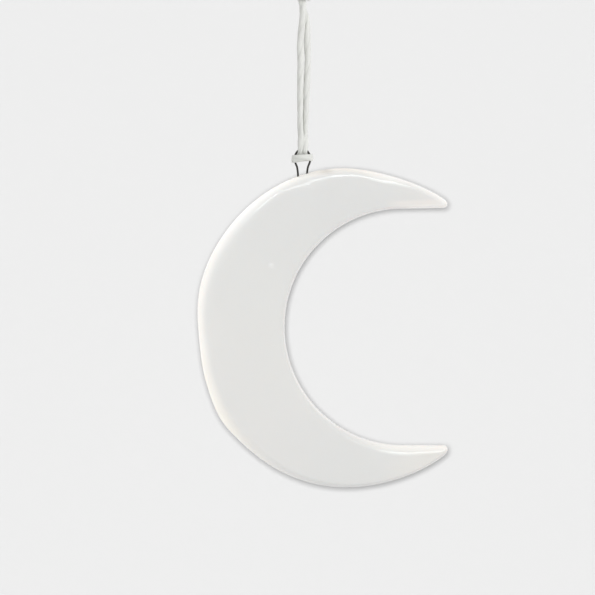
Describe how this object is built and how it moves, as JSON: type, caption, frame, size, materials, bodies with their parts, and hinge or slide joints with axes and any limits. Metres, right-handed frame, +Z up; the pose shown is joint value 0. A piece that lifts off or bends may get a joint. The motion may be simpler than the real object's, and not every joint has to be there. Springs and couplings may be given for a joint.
{
  "type": "hanging ornament",
  "caption": "Glazed porcelain crescent moon slab with a wire hanger fired into its top edge, on a doubled cotton cord with a hitch, a knot and a hanging eye.",
  "frame": {"origin": "underside of the top of the hanging eye, where a hook or a twig carries the ornament", "axes": "+Z up along the hanging cord, +X to the right as seen from the front, +Y away from the viewer; the moon's domed face looks along -Y and its flat back along +Y"},
  "size_m": [0.0778, 0.0076, 0.191],
  "materials": {
    "porcelain": "clear glossy glaze over white porcelain, creamier on the rounded edges",
    "wire": "thin high-temperature wire, dark and dull from the kiln",
    "cord": "twisted off-white cotton cord, matt and slightly fuzzy"
  },
  "bodies": {
    "hanging_loop": {"cord_eye": "cord"},
    "knot": {"cord_knot_turn": "cord", "cord_knot_core": "cord"},
    "strands": {"cord_strand_left": "cord", "cord_strand_right": "cord"},
    "moon": {"cord_hitch": "cord", "hanger_wire": "wire", "moon_body": "porcelain"}
  },
  "joints": [
    {"name": "swing_front_back", "type": "hinge", "parent": "hanging_loop", "child": "knot", "pos_m": [0, 0, -0.03], "axis": [1, 0, 0], "range_deg": [-45, 45]},
    {"name": "swing_side", "type": "hinge", "parent": "knot", "child": "strands", "pos_m": [0, 0, -0.0395], "axis": [0, 1, 0], "range_deg": [-45, 45]},
    {"name": "turn", "type": "hinge", "parent": "strands", "child": "moon", "pos_m": [0, 0, -0.0786], "axis": [0, 0, 1], "range_deg": [-180, 180], "stiffness_Nm_per_rad": 0.000013}
  ]
}
